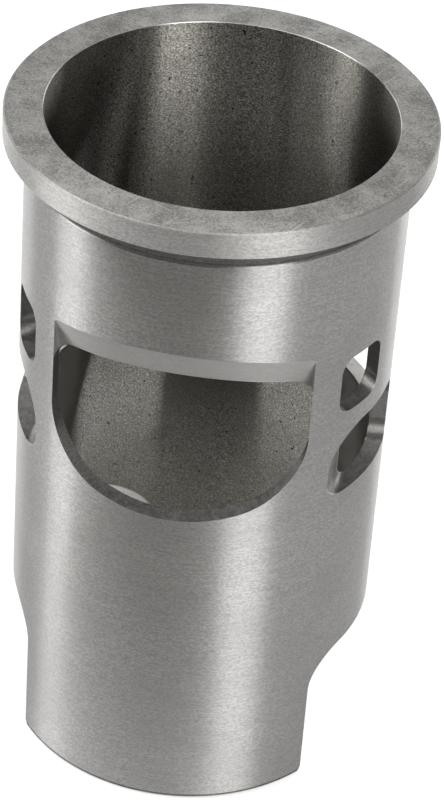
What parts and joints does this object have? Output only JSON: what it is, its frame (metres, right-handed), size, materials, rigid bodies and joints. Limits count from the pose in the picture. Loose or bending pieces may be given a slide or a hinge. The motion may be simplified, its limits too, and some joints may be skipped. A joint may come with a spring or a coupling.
{
  "type": "cylinder liner",
  "caption": "Flanged iron sleeve for a two-stroke engine: honed bore, D-shaped exhaust port with valve recess, transfer ports and skirt windows.",
  "frame": {"origin": "on the bore axis, at the foot of the skirt", "axes": "+Z along the bore axis towards the cylinder head; -Y towards the exhaust port; +X to the right when seen from the exhaust side"},
  "size_m": [0.0662, 0.066, 0.1142],
  "materials": {
    "cast_iron": "ground outside, honed bore, faced flange"
  },
  "bodies": {
    "root": {"cylinder_liner": "cast_iron"}
  },
  "joints": []
}
